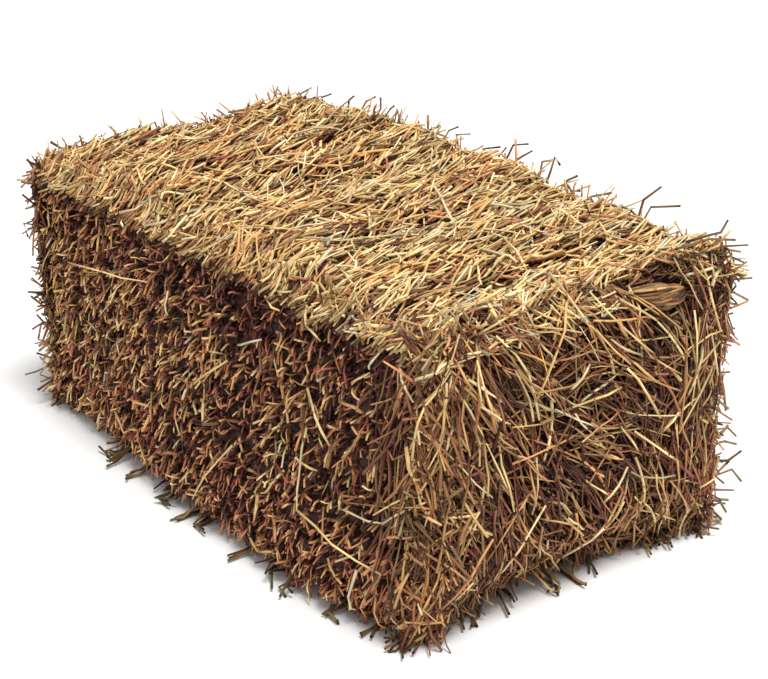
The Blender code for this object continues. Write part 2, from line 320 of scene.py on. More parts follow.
# The deeper layers have darker, redder tones: painted shade of the depth among the stems.
TOP_LAYERS = (
    Layer(0.90, (-0.013, -0.006), (-0.010, -0.002), 0.12, 0.82, length=(0.045, 0.090), wander=20, stays=0.6,
          rings=3, sides=3, bed=True),
    Layer(0.66, (-0.009, -0.002), (0.000, 0.006), 0.45, 0.60, length=(0.036, 0.070), wander=20, stays=0.6,
          tone_varies=0.14),
    Layer(0.52, (-0.007, -0.002), (0.004, 0.014), 0.74, 0.38, length=(0.030, 0.058), wander=22, stays=0.5,
          tone_varies=0.14),
    Layer(0.05, (0.000, 0.004), (0.003, 0.010), 0.90, 0.24, length=(0.050, 0.100), wander=60, rings=5,
          hollow=True),
)
BRIM_LAYER = Layer(
    0.30, (-0.004, 0.002), (-0.004, 0.012), 0.60, 0.46, length=(0.026, 0.046), wander=28, tone_varies=0.16,
    bow=0.06, kink=0.02, hollow=True
)
BRIM_WIDTH = 0.030  # of the strip along each top edge in which the brim's stems are rooted

# The two ends: long stems that lie crossed.
END_WISP = (0.020, 0.020)
# The deeper layers have darker, redder tones: painted shade of the depth among the stems.
END_LAYERS = (
    Layer(1.25, (-0.015, -0.007), (-0.012, -0.003), 0.04, 0.96, length=(0.035, 0.080), rings=3, sides=3,
          bed=True),
    Layer(0.75, (-0.009, -0.002), (-0.005, 0.006), 0.21, 0.84, length=(0.040, 0.095), thick=0.0020),
    Layer(0.42, (-0.005, 0.001), (0.001, 0.012), 0.42, 0.72, length=(0.050, 0.110), tone_varies=0.17, rings=5,
          thick=0.0018),
    Layer(0.08, (0.000, 0.004), (0.004, 0.014), 0.68, 0.44, length=(0.060, 0.125), tone_varies=0.15, rings=5,
          sides=6, hollow=True, thick=0.0019),
)
BROKEN_LAYER = Layer(
    0.45, (-0.010, -0.010), (0.000, 0.012), 0.28, 0.72, wander=0.8, tone_varies=0.20, rings=3, open_root=True
)
CORNER_LAYER = Layer(
    0.34, (-0.004, 0.003), (0.002, 0.016), 0.37, 0.70, length=(0.045, 0.105), tone_varies=0.20, wander=24.0,
    rings=5
)
CORNER_WIDTHS = (0.035, 0.080)  # of the strips beside the near left corner, and the first of the others'
CORNER_ANGLE = -90.0
CORNER_WANDER = 60.0
CORNER_LEFT_ANGLE = -103.0  # at the near left corner, on the left side
CORNER_NEAR_ANGLE = -76.0  # and on the near end
END_SLANT = -42.0  # degrees from +Y in the middle of the near end
END_SLANT_SIDES = -84.0  # and at its left and right edges
SLANT_POWER = 1.5
NEAR_HALF_WIDTH = 0.22
LOOSE_SHARE = 0.18  # stems that follow no slant
FLOW_REACH = 0.034  # how far a photographed stem gives its lie to the stems around it
FLOW_BASE = 0.22  # the weight of the slant beside it
END_TURNED = 0.35

# The flattened straw of the underside.
GROUND_WISP = (0.020, 0.040)
GROUND_ANGLE = 90.0
GROUND_LAYER = Layer(
    0.55, (-0.007, -0.002), (-0.005, -0.001), 0.42, 0.56, length=(0.050, 0.110), wander=30, stays=0.6, rings=3,
    sides=3, flatness=0.45
)
GROUND_MARGIN = 0.024  # from the edges of the underside, which the sides' stems fill

# The near end's hollow, in the frame, and the wisp that is rolled up in it.
POCKET_MIDDLE = np.array([0.432, 0.106, 0.348])
POCKET_RADII = np.array([0.036, 0.056, 0.026])
POCKET_EDGE = (0.68, 1.08)  # how far in stems reach, in those radii
ROLL_COUNT = 120
ROLL_ENDS_Y = (0.066, 0.138)
ROLL_ENDS_Z = (0.338, 0.324)
ROLL_BEHIND = 0.012  # of the end's surface
ROLL_BULGE = 0.010
ROLL_RADIUS = 0.0135
ROLL_NECK = 0.45  # how much of that its two ends have
ROLL_VARIES = (0.75, 1.10)
ROLL_STAGGER = 0.15  # of its length, by which its stems are shifted along it
ROLL_TURN = 1.7  # radians from its front to its top and bottom
ROLL_TWIST = (-0.2, 1.2)
ROLL_LAYER = Layer(tone=0.35, hue=0.60, tone_varies=0.16, hue_varies=0.13, rings=6)

# Stems that stand out in the photograph, each by the pixels of its two ends: x, y, x and y.
PHOTO_LIFT = 0.006
PHOTO_ARCH = 0.004
PHOTO_WANDER = 0.0006
PHOTO_RADIUS = (0.0013, 0.0018)
PHOTO_LAYER = Layer(
    tone=0.80, hue=0.24, tone_varies=0.09, hue_varies=0.08, rings=5, sides=6, hollow=True, flatness=0.8
)
NEAR_END_STEMS = (
    (480, 336, 555, 289), (527, 329, 549, 360), (556, 251, 594, 312), (449, 370, 428, 414),
    (446, 383, 442, 416), (450, 416, 442, 458), (448, 378, 502, 493), (508, 367, 524, 416),
    (527, 452, 523, 510), (545, 404, 590, 425), (609, 422, 630, 447), (627, 452, 640, 501),
    (640, 501, 662, 529), (619, 463, 596, 500), (617, 297, 650, 318), (650, 318, 676, 357),
    (555, 405, 612, 384), (662, 477, 694, 518), (561, 387, 583, 361), (625, 427, 669, 457),
    (697, 339, 682, 392), (656, 428, 673, 405), (574, 475, 600, 492), (560, 514, 582, 532),
    (437, 518, 472, 508), (462, 377, 492, 397), (470, 402, 500, 420),
)
NEAR_END_FLOW = (
    (500, 350, 545, 345), (532, 390, 575, 415), (575, 310, 592, 345), (600, 440, 640, 455),
    (640, 350, 655, 400), (690, 420, 684, 470), (612, 495, 608, 540), (545, 445, 560, 460),
    (510, 545, 550, 580), (455, 540, 440, 600), (480, 560, 484, 600), (530, 470, 560, 480),
    (590, 510, 596, 545), (700, 440, 694, 500), (470, 460, 476, 520), (500, 500, 504, 540),
)
NEAR_PLANE = 0.43  # the near end's place along X, for these
LEFT_SIDE_STEMS = (
    (69, 261, 155, 280), (208, 380, 238, 359), (317, 385, 344, 442), (320, 423, 320, 502),
    (320, 502, 393, 571), (248, 440, 215, 492), (356, 502, 391, 521), (391, 521, 424, 502),
    (401, 354, 417, 401), (305, 306, 325, 340), (176, 289, 177, 313), (374, 564, 368, 616),
    (383, 350, 375, 368), (360, 380, 377, 371), (405, 356, 427, 365), (360, 386, 369, 398),
    (246, 343, 268, 337), (262, 292, 284, 309),
)
TOP_STEMS = (
    (503, 243, 529, 272), (430, 190, 452, 226), (300, 214, 346, 206),
)

# Tips that stand out of the photograph's outline, from the root's pixel to the tip's.
TIP_LAYER = Layer(tone=0.30, hue=0.50, hue_varies=0.08, sides=6, hollow=True, flatness=0.9)
TIP_RADIUS = 0.0018
TIP_ROOT = 0.030  # how much further in the root lies
TIP_ROOT_VARIES = 0.008
TIP_BEND = 0.12
GROUND_TIP_HEIGHT = 0.006
GROUND_TIP_LAYER = TIP_LAYER._replace(tone=0.10)
GROUND_COMPANIONS = 3
COMPANION_SPREAD = 0.006
COMPANION_SHARE = (0.6, 1.0)  # of the length of the tip before it
FAR_EDGE_TIPS = (
    (243, 112, 246, 100), (264, 97, 272, 80), (268, 99, 253, 88), (278, 96, 284, 84),
    (297, 100, 289, 94), (298, 98, 311, 88), (320, 101, 331, 94), (348, 104, 354, 96),
    (364, 104, 375, 97), (383, 106, 385, 86), (388, 112, 394, 106), (428, 134, 440, 126),
    (446, 134, 458, 127), (455, 138, 470, 134), (480, 151, 500, 147), (497, 160, 506, 148),
    (510, 148, 528, 144), (518, 159, 532, 151), (540, 166, 553, 160), (553, 160, 560, 165),
    (564, 184, 577, 176), (568, 193, 580, 191), (586, 199, 611, 193), (640, 206, 661, 187),
    (645, 211, 680, 206),
)
RIGHT_EDGE_TIPS = (
    (716, 235, 728, 220), (702, 240, 735, 240), (715, 248, 748, 245), (715, 251, 743, 262),
    (720, 267, 736, 272), (712, 281, 752, 278), (716, 286, 748, 300), (718, 301, 738, 305),
    (710, 319, 727, 340), (712, 338, 735, 342), (718, 315, 731, 330), (708, 407, 732, 420),
    (715, 438, 728, 425), (724, 428, 736, 436), (718, 442, 736, 444), (706, 449, 722, 462),
    (722, 462, 741, 451), (711, 477, 729, 461), (727, 469, 741, 481), (704, 498, 728, 500),
    (704, 504, 721, 519), (716, 499, 726, 512), (704, 520, 725, 529), (690, 520, 713, 541),
    (680, 529, 701, 549),
)
LEFT_EDGE_TIPS = (
    (34, 197, 18, 200), (33, 206, 20, 209), (38, 218, 20, 222), (27, 222, 28, 237),
    (36, 268, 24, 265), (46, 287, 32, 278), (50, 310, 30, 296), (38, 314, 11, 315),
    (48, 331, 23, 307), (39, 322, 31, 341), (46, 343, 30, 354), (62, 389, 45, 396),
    (84, 411, 67, 421),
)
LEFT_GROUND_TIPS = (
    (120, 453, 106, 452), (120, 459, 107, 466), (136, 470, 126, 479), (167, 480, 154, 489),
    (163, 494, 168, 505), (187, 515, 175, 519), (196, 519, 205, 533), (246, 550, 230, 558),
    (276, 568, 272, 588), (287, 583, 280, 596), (330, 610, 338, 621), (381, 622, 371, 637),
    (402, 639, 385, 649), (404, 641, 403, 658), (421, 639, 413, 653),
)
NEAR_GROUND_TIPS = (
    (437, 612, 442, 640), (457, 615, 464, 629), (479, 606, 471, 626), (496, 590, 509, 614),
    (547, 586, 557, 593), (572, 576, 586, 585), (590, 562, 597, 574), (644, 543, 651, 554),
    (665, 536, 672, 547),
)


class Side:
    """One side of the pressed bale: how far its surface stands out, on a grid over the other two axes."""

    def __init__(self, tree, axis, sign, low, high):
        self.axis = axis
        self.sign = sign
        self.across, self.up = [other for other in range(3) if other != axis]
        self.low = np.array([low[self.across], low[self.up]])
        self.high = np.array([high[self.across], high[self.up]])
        counts = np.maximum(2, ((self.high - self.low) / GRID).astype(int))
        self.step = (self.high - self.low) / (counts - 1)
        reach = np.full(counts, np.nan)
        start = Vector((0, 0, 0))
        start[axis] = sign * RAY_START
        direction = Vector((0, 0, 0))
        direction[axis] = -sign
        for i in range(counts[0]):
            for j in range(counts[1]):
                start[self.across] = self.low[0] + i * self.step[0]
                start[self.up] = self.low[1] + j * self.step[1]
                hit = tree.ray_cast(start, direction)[0]
                if hit:
                    reach[i, j] = sign * hit[axis]
        self.level = np.nanpercentile(reach, LEVEL_SHARE)
        lowest = self.level - EDGE_FALL
        self.reach = self.levelled(np.maximum(np.nan_to_num(reach, nan=lowest), lowest))

    @staticmethod
    def levelled(reach):
        """The grid with its tufts taken off: a low percentile of each cell's neighbours."""
        padded = np.pad(reach, LEVEL_REACH, mode="edge")
        span = 2 * LEVEL_REACH + 1
        windows = np.lib.stride_tricks.sliding_window_view(padded, (span, span))
        return np.percentile(windows.reshape(*reach.shape, -1), LEVEL_SHARE, axis=2)

    def surface(self, across, up):
        """How far the pressed surface stands out there, along this side's outward axis."""
        i = np.clip((across - self.low[0]) / self.step[0], 0, self.reach.shape[0] - LAST_CELL)
        j = np.clip((up - self.low[1]) / self.step[1], 0, self.reach.shape[1] - LAST_CELL)
        i0 = i.astype(int)
        j0 = j.astype(int)
        i -= i0
        j -= j0
        lower = self.reach[i0, j0] * (1 - i) + self.reach[i0 + 1, j0] * i
        upper = self.reach[i0, j0 + 1] * (1 - i) + self.reach[i0 + 1, j0 + 1] * i
        return lower * (1 - j) + upper * j - self.rounding(across, 0) - self.rounding(up, 1)

    def rounding(self, places, number):
        """How far the side falls away there towards its two edges on that one of its two axes."""
        inside = np.minimum(places - self.low[number], self.high[number] - places)
        return ROUNDED_FALL * np.clip(1 - inside / ROUNDED, 0, 1) ** 2

    def points(self, across, up, out):
        """World points at these places, standing out that far, measured along the outward axis."""
        across, up, out = np.broadcast_arrays(across, up, out)
        points = np.empty((*out.shape, 3))
        points[..., self.across] = across
        points[..., self.up] = up
        points[..., self.axis] = self.sign * out
        return points

    def scattered(self, rng, per_cm2, area=None):
        """Places spread evenly over the side, or over an area of it, given by its two corners."""
        low, high = area or (self.low, self.high)
        size = high - low
        number = max(1, size[0] * size[1] / CM2 * per_cm2)
        columns = max(1, round(math.sqrt(number * size[0] / size[1])))
        rows = max(1, round(number / columns))
        i, j = np.meshgrid(np.arange(columns), np.arange(rows), indexing="ij")
        places = np.stack([i.ravel() / columns, j.ravel() / rows], axis=1)
        places += rng.random(places.shape) / (columns, rows)
        return low + places * size


class Wisps:
    """The wisps that the stems of a side form. Each has a middle, and its own lean, lift and colour."""

    def __init__(self, side, spacing, rng):
        self.spacing = np.array(spacing)
        self.middles = side.scattered(rng, CM2 / (spacing[0] * spacing[1]))
        count = len(self.middles)
        self.lean = rng.standard_normal((count, 2))
        self.lift = WISP_LIFT * rng.standard_normal(count)
        self.tone = WISP_TONE * rng.standard_normal(count)
        self.hue = WISP_HUE * rng.standard_normal(count)
        self.tree = KDTree(count)
        for number, (across, up) in enumerate(self.middles / self.spacing):
            self.tree.insert((across, up, 0), number)
        self.tree.balance()

    def of(self, places):
        """The number of the wisp that each stem belongs to."""
        return np.array([self.tree.find((across, up, 0))[1] for across, up in places / self.spacing])


class Bale:
    """The frame's flakes and sides, and the stems that have been laid on them so far."""

    def __init__(self, frame):
        self.names = sorted(name for name in frame["nodes"])
        self.low, self.high = [np.array(corner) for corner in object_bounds()]
        boxes = [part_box(name) for name in self.names]
        self.joints_x = np.array([(a[1][0] + b[0][0]) / 2 for a, b in zip(boxes, boxes[1:])])
        self.edges_x = np.concatenate([[self.low[0]], self.joints_x, [self.high[0]]])
        tree = self.surface_tree(frame)
        self.body_low, self.body_high = self.pressed_box(tree)
        box = (self.body_low, self.body_high)
        self.left = Side(tree, 1, -1, *box)
        self.right = Side(tree, 1, 1, *box)
        self.near = Side(tree, 0, 1, *box)
        self.far = Side(tree, 0, -1, *box)
        self.top = Side(tree, 2, 1, *box)
        self.ground = Side(tree, 2, -1, self.body_low + GROUND_MARGIN, self.body_high - GROUND_MARGIN)
        self.sides = {(side.axis, side.sign): side for side in (
            self.left, self.right, self.near, self.far, self.top, self.ground
        )}
        self.parts = [[] for _ in self.names]

    def pressed_box(self, tree):
        """The frame's box without the tufts that stand out of the pressed straw."""
        inner = (self.low + 2 * TUFTS, self.high - 2 * TUFTS)
        low = [-Side(tree, axis, -1, *inner).level for axis in range(3)]
        high = [Side(tree, axis, 1, *inner).level for axis in range(3)]
        return np.array(low), np.array(high)

    def surface_tree(self, frame):
        points = []
        faces = []
        for name in self.names:
            mesh = frame["nodes"][name].data
            start = len(points)
            points += [vert.co.copy() for vert in mesh.vertices]
            faces += [[start + index for index in face.vertices] for face in mesh.polygons]
        return BVHTree.FromPolygons(points, faces)

    def flake_of(self, x):
        return np.searchsorted(self.joints_x, x)

    def kept_in_flake(self, x, spread, share, rng):
        """x, moved so that a stem of that spread along X stays in its flake, for that share of the stems."""
        flake = self.flake_of(x)
        low = self.edges_x[flake] + spread
        high = self.edges_x[flake + 1] - spread
        middle = (low + high) / 2
        inside = np.where(low < high, np.clip(x, low, high), middle)
        return np.where(rng.random(len(x)) < share, inside, x)

    def add(self, flake, verts, faces, uvs, smooth):
        """Keeps the meshes of many alike stems, shared out between their flakes."""
        for number in np.unique(flake):
            mine = flake == number
            self.parts[number].append((verts[mine], faces, uvs[mine], smooth))


def colour_row(tone, hue):
    """The number of the colour row for a tone and a hue, each from 0 to 1."""
    tone_step = np.rint(np.clip(tone, 0, 1) * (TONES - 1))
    hue_step = np.rint(np.clip(hue, 0, 1) * (HUES - 1))
    return tone_step * HUES + hue_step


def row_height(row, share):
    """The texture coordinate at a share of the way up a colour row."""
    return (row + ROW_INSET + (1 - 2 * ROW_INSET) * share) / ROWS


def patches(points, amount, size, phase):
    """A smooth variation over the bale, up to about that amount, with humps of about that size. The
    factors only keep the humps of its waves from lining up."""
    x, y, z = np.moveaxis(points / size * math.pi, -1, 0)
    wave = np.sin(x + 1.3 * np.sin(y * 0.8 + phase)) + np.sin(y * 1.1 + 1.7 * np.sin(z + 2 * phase))
    return amount * ((wave + np.sin(z * 0.9 + 1.1 * np.sin(x * 1.3 + 3 * phase))) / 2.2)


def out_of_true(points):
    """The points, shifted to where the photographed bale is out of true."""
    moved = points.copy()
    for axis, shift, middle, half in SHIFTS:
        offset = (points - middle) / half
        moved[..., axis] += shift * np.exp(-(offset**2).sum(axis=-1))
    return moved


def within(path, low, high):
    """The paths, each moved and then shortened from its root until it lies between low and high."""
    root = np.clip(path[:, :1], low, high)
    run = path - path[:, :1]
    room = np.where(run > 0, high - root, root - low)
    share = np.min(room / np.maximum(np.abs(run), 1e-6), axis=(1, 2), keepdims=True)
    return root + run * np.minimum(share, 1)


def stem_faces(rings, sides, hollow, open_root):
    """The faces of one stem, as lists of its own vertices, and how many of them are its walls.
    A hollow stem has one ring more, down inside its open end."""
    faces = []
    last = (rings - 1 + hollow) * sides
    for start in range(0, last, sides):
        for side in range(sides):
            turn = (side + 1) % sides
            faces.append((start + side, start + turn, start + sides + turn, start + sides + side))
    faces.append(tuple(range(last, last + sides)))
    if not open_root:
        faces.append(tuple(reversed(range(sides))))
    return faces, (rings - 1) * sides


def tube_points(path, radius, flatness, layer, rng):
    """The vertices of the tubes along these paths, as (stems, vertices, 3)."""
    count, rings, _ = path.shape
    tangent = np.gradient(path, axis=1)
    tangent /= np.linalg.norm(tangent, axis=2, keepdims=True) + TINY
    chord = path[:, -1] - path[:, 0]
    steep = np.abs(chord[:, 2]) > STEEP * np.linalg.norm(chord, axis=1)
    helper = np.where(steep[:, None], (1.0, 0.0, 0.0), (0.0, 0.0, 1.0))[:, None, :]
    sideways = np.cross(tangent, helper)
    sideways /= np.linalg.norm(sideways, axis=2, keepdims=True) + TINY
    upward = np.cross(sideways, tangent)

    along = np.linspace(0, 1, rings)
    swell = 1 + SWELL * rng.standard_normal((count, rings)) - TAPER * along
    wide = radius[:, None] * np.clip(swell, *SWELL_LIMITS)
    roll = rng.uniform(0, math.tau, (count, 1, 1))
    roll = roll + rng.uniform(-TWIST, TWIST, (count, 1, 1)) * along[None, :, None]
    angle = math.tau * np.arange(layer.sides) / layer.sides
    local_u = np.cos(angle) * wide[..., None]
    local_v = np.sin(angle) * wide[..., None] * flatness[:, None, None]
    u = local_u * np.cos(roll) - local_v * np.sin(roll)
    v = local_u * np.sin(roll) + local_v * np.cos(roll)
    verts = path[:, :, None] + sideways[:, :, None] * u[..., None] + upward[:, :, None] * v[..., None]
    if layer.hollow:
        inner = path[:, -1, None] + (verts[:, -1] - path[:, -1, None]) * HOLLOW_WIDTH
        inner -= (tangent[:, -1] * (radius * HOLLOW_DEPTH)[:, None])[:, None]
        verts = np.concatenate([verts, inner[:, None]], axis=1)
    verts = verts.reshape(count, -1, 3)
    verts[..., 2] = np.maximum(verts[..., 2], 0.0)
    return verts


def tube_uvs(faces, walls, row, layer, rng):
    """The texture coordinates of the corners of each tube's faces, as (stems, corners, 2)."""
    count = len(row)
    along = np.linspace(0, 1, layer.rings)
    around = 1 - np.abs(2 * np.arange(layer.sides) / layer.sides - 1)
    # painted shade inside the open stem ends, on a black russet row
    end_row = colour_row(HOLLOW_SHADE_TONE, RUSSET) * np.ones(count)
    if not layer.hollow:
        end_row = np.where(rng.random(count) < DARK_ENDS, end_row, row)
    uvs = []
    start = 0 if layer.open_root else LYING_START
    for number, face in enumerate(faces):
        corners = np.array(face)
        if number < walls:
            u = start + (1 - start) * along[corners // layer.sides]
            v = row_height(row[:, None], around[corners % layer.sides])
        else:
            turn = math.tau * np.arange(len(face)) / len(face)
            u = 0.5 + END_CIRCLE * np.cos(turn)
            v = row_height(end_row[:, None], 0.5 + 0.5 * np.sin(turn))
        uvs.append(np.stack([np.broadcast_to(u, v.shape), v], axis=-1))
    return np.concatenate(uvs, axis=1)


def add_stems(bale, layer, path, radius, row, rng, flatness=None, in_place=False):
    """Lays one tube along each path. path is (stems, rings, 3), and the others have one value a stem."""
    if flatness is None:
        flatness = np.full(len(path), layer.flatness)
    if not in_place:
        path = out_of_true(path)
    path = within(path, bale.low - ALLOWANCE, bale.high + ALLOWANCE)
    flake = bale.flake_of(path[:, 0, 0])
    path[..., 2] = np.maximum(path[..., 2], radius[:, None] * FLOOR_CLEARANCE)
    verts = tube_points(path, radius, flatness, layer, rng)
    faces, walls = stem_faces(layer.rings, layer.sides, layer.hollow, layer.open_root)
    uvs = tube_uvs(faces, walls, row, layer, rng)
    bale.add(flake, verts, faces, uvs, [number < walls for number in range(len(faces))])


def thickness(rng, count, thin, thick):
    """Radii of that many stems, with more thin ones than thick ones."""
    return thin + (thick - thin) * rng.beta(*THICKNESS_BETA, count)


def blades(rng, radius):
    """Makes some of the stems flat leaf blades: the new radii, and how flat each stem is."""
    is_blade = rng.random(len(radius)) < BLADE_SHARE
    flatness = np.where(is_blade, BLADE_FLATNESS, rng.uniform(*ROUNDNESS, len(radius)))
    return np.where(is_blade, BLADE_RADIUS * rng.uniform(*BLADE_VARIES, len(radius)), radius), flatness


def plain_row(layer, count, rng):
    """The colour row of each of that many stems of a layer that belong to no wisp."""
    tone = rng.normal(layer.tone, layer.tone_varies, count)
    return colour_row(tone, rng.normal(layer.hue, layer.hue_varies, count))


def add_layer(bale, layer, path, row, rng, spare_hollow=True):
    """Adds a layer's stems along these paths. The near end's hollow stays clear of all but the bed's."""
    radius, flatness = blades(rng, thickness(rng, len(path), layer.thin, layer.thick))
    if layer.flatness:
        flatness[:] = layer.flatness
    keep = np.full(len(path), True)
    if spare_hollow:
        keep = layer.bed | clear_of_pocket(path, rng)
    add_stems(bale, layer, path[keep], radius[keep], row[keep], rng, flatness[keep])


def standing(side, layer, places, lift, root, tip, lean, curl):
    """Paths of stems that stand out of a side. lean and curl are (stems, 2), for each unit of length."""
    t = np.linspace(0, 1, layer.rings)
    length = (tip - root)[:, None]
    sway = lean[:, :, None] * t + curl[:, :, None] * t**3
    across = places[:, 0, None] + length * sway[:, 0]
    up = places[:, 1, None] + length * sway[:, 1]
    base = side.surface(places[:, 0], places[:, 1]) + lift
    bend = 1 - CURL_SHORTENS * np.linalg.norm(curl, axis=1)[:, None] * t
    return side.points(across, up, (base + root)[:, None] + length * t * bend)


def shift_inside(path, low, high):
    """How far each path has to move to lie between low and high."""
    return (np.maximum(0, low - path.min(axis=1)) - np.maximum(0, path.max(axis=1) - high))[:, None]


def lying(side, layer, places, lift, angle, length, bow, root, tip, rng):
    """Paths of stems that lie on a side and follow its surface, from root off it to tip off it."""
    t = np.linspace(-0.5, 0.5, layer.rings)
    turned = np.radians(angle)[:, None]
    run = length[:, None] * t
    sag = bow[:, None] * length[:, None] * (1 - 4 * t**2)
    sag = sag + layer.kink * length[:, None] * rng.standard_normal((len(length), layer.rings))
    across = places[:, 0, None] + run * np.cos(turned) - sag * np.sin(turned)
    up = places[:, 1, None] + run * np.sin(turned) + sag * np.cos(turned)
    beyond = np.minimum(rng.exponential(OVERHANG, len(length)), MOST_OVERHANG)
    across += shift_inside(across, side.low[0] - beyond, side.high[0] + beyond)
    up += shift_inside(up, side.low[1] - beyond, side.high[1] + beyond)
    rise = (lift + root)[:, None] + (tip - root)[:, None] * (t + 0.5)
    return side.points(across, up, side.surface(across, up) + rise)


def layer_places(side, layer, wisps, rng, area=None):
    """The places of a layer's stems, drawn together into wisps, and the wisp of each."""
    if layer.bed:
        area = (side.low + BED_INSET, side.high - BED_INSET)
    places = side.scattered(rng, layer.per_cm2, area)
    wisp = wisps.of(places)
    return places + WISP_GATHER * (wisps.middles[wisp] - places), wisp


def layer_row(side, layer, wisps, wisp, places, rng, shade_and_tone_of=None):
    """The colour row of each stem of a layer. shade_and_tone_of gives how much lighter it is at places on the
    side, from painted light and shade and from tone.
    """
    count = len(places)
    tone = layer.tone + wisps.tone[wisp] + layer.tone_varies * rng.standard_normal(count)
    hue = layer.hue + wisps.hue[wisp] + layer.hue_varies * rng.standard_normal(count)
    shade = shade_and_tone_of(places) if shade_and_tone_of else 0.0
    yellower = PALER * (tone - layer.tone) + SHADE_HUE * shade
    hue = np.maximum(hue - yellower, np.minimum(hue, CREAM))
    world = side.points(places[:, 0], places[:, 1], side.level)
    tone += patches(world, *TONE_PATCHES)
    hue += patches(world, *HUE_PATCHES)
    # the painted shade of the deep layers is lifted near the side's edges
    to_edge = np.minimum(places - side.low, side.high - places).min(axis=1)
    at_edge = np.exp(-to_edge / EDGE_LIGHT_WIDTH) * (1 - layer.tone)
    return colour_row(tone + shade + EDGE_LIGHT * at_edge, hue - EDGE_HUE * at_edge)


def lay(bale, side, layer, wisps, angle_of, rng, shade_and_tone_of=None, area=None):
    """One layer of stems that lie on a side. angle_of gives their directions at places on it."""
    places, wisp = layer_places(side, layer, wisps, rng, area)
    count = len(places)
    length = rng.uniform(*layer.length, count)
    shared, own = LYING_LEANS
    angle = angle_of(places)
    lean = shared * wisps.lean[wisp, 0] + own * rng.standard_normal(count)
    angle = angle + layer.wander * lean
    if layer.stays:
        spread = np.abs(np.cos(np.radians(angle))) * length / 2
        places[:, 0] = bale.kept_in_flake(places[:, 0], spread, layer.stays, rng)
    root = rng.uniform(*layer.root, count)
    tip = rng.uniform(*layer.tip, count)
    bow = rng.normal(0, layer.bow, count)
    path = lying(side, layer, places, wisps.lift[wisp], angle, length, bow, root, tip, rng)
    add_layer(bale, layer, path, layer_row(side, layer, wisps, wisp, places, rng, shade_and_tone_of), rng)


def stand(bale, side, layer, wisps, rng, shade_and_tone_of=None):
    """One layer of cut or broken ends that stand out of a side."""
    places, wisp = layer_places(side, layer, wisps, rng)
    count = len(places)
    if layer.stays:
        places[:, 0] = bale.kept_in_flake(places[:, 0], layer.thick, layer.stays, rng)
    root = rng.uniform(*layer.root, count)
    tip = rng.uniform(*layer.tip, count)
    shared, own = STANDING_LEANS
    lean = layer.wander * (shared * wisps.lean[wisp] + own * rng.standard_normal((count, 2))) - (0, DROOP)
    lean += WISP_GATHER * (wisps.middles[wisp] - places) / (tip - root)[:, None]
    curl = rng.normal(0, CURL_VARIES, (count, 2)) - (0, DROOP_CURL)
    path = standing(side, layer, places, wisps.lift[wisp], root, tip, lean, curl)
    add_layer(bale, layer, path, layer_row(side, layer, wisps, wisp, places, rng, shade_and_tone_of), rng)


def side_straw(bale, side, rng):
    """The cut straw ends that stand out of a long side, with some folded stems among them."""
    flake_tone = FLAKE_TONE * rng.standard_normal(len(bale.names))

    def shade_and_tone_of(places):
        # painted shade under the top edge and in the flake seams, painted light towards the far end, and each
        # flake's own tone
        height = places[:, 1] / bale.body_high[2]
        shade = EDGE_SHADE * np.exp(-(((height - EDGE_SHADE_HEIGHT) / EDGE_SHADE_WIDTH) ** 2))
        to_seam = np.abs(places[:, 0, None] - bale.joints_x).min(axis=1)
        shade += SEAM_SHADE * np.exp(-((to_seam / SEAM_WIDTH) ** 2))
        shade -= FAR_LIGHT * np.clip((places[:, 0] - FAR_LIGHT_X) / (bale.body_low[0] - FAR_LIGHT_X), 0, 1)
        return flake_tone[bale.flake_of(places[:, 0])] - shade

    wisps = Wisps(side, SIDE_WISP, rng)
    for layer in SIDE_LAYERS:
        stand(bale, side, layer, wisps, rng, shade_and_tone_of)
    lay(bale, side, FOLDED_LAYER, wisps, lambda places: FOLDED_ANGLE, rng, shade_and_tone_of)


def top_fringe(bale, side, rng):
    """Pale stems that bend over a long top edge and hang a little way down the side."""
    layer = FRINGE_LAYER
    x = rng.uniform(side.low[0], side.high[0], FRINGE_COUNT)
    places = np.stack([x, side.high[1] + rng.uniform(*FRINGE_START, FRINGE_COUNT)], axis=1)
    length = rng.uniform(*layer.length, FRINGE_COUNT)
    angle = rng.normal(FRINGE_ANGLE, layer.wander, FRINGE_COUNT)
    root = rng.uniform(*layer.root, FRINGE_COUNT)
    tip = rng.uniform(*layer.tip, FRINGE_COUNT)
    bow = rng.normal(0, layer.bow, FRINGE_COUNT)
    path = lying(side, layer, places, 0.0, angle, length, bow, root, tip, rng)
    add_layer(bale, layer, path, plain_row(layer, FRINGE_COUNT, rng), rng, spare_hollow=False)


def top_straw(bale, rng):
    """The stems that lie over the top, across the bale."""
    def angle_of(places):
        turned_back = rng.random(len(places)) < TURNED_BACK
        return TOP_ANGLE + TOP_TURN * places[:, 0] / bale.body_high[0] + 180 * turned_back

    def shade_and_tone_of(places):
        return TOP_FADE * places[:, 0] / bale.body_high[0]

    wisps = Wisps(bale.top, TOP_WISP, rng)
    for layer in TOP_LAYERS:
        lay(bale, bale.top, layer, wisps, angle_of, rng, shade_and_tone_of)
    for edge in (-1, 1):
        top_brim(bale, wisps, edge, rng)


def top_brim(bale, wisps, edge, rng):
    """Stems that reach out over one long top edge, on the -Y or the +Y side."""
    side = bale.top
    layer = BRIM_LAYER
    line = side.high[1] if edge > 0 else side.low[1]
    strip = sorted((line, line - edge * BRIM_WIDTH))
    area = np.array([side.low[0], strip[0]]), np.array([side.high[0], strip[1]])
    places = side.scattered(rng, layer.per_cm2, area)
    count = len(places)
    angle = edge * 90 + layer.wander * rng.standard_normal(count)
    length = rng.uniform(*layer.length, count)
    bow = rng.normal(0, layer.bow, count)
    root = rng.uniform(*layer.root, count)
    tip = rng.uniform(*layer.tip, count)
    path = lying(side, layer, places, 0.0, angle, length, bow, root, tip, rng)
    add_layer(bale, layer, path, layer_row(side, layer, wisps, wisps.of(places), places, rng), rng)


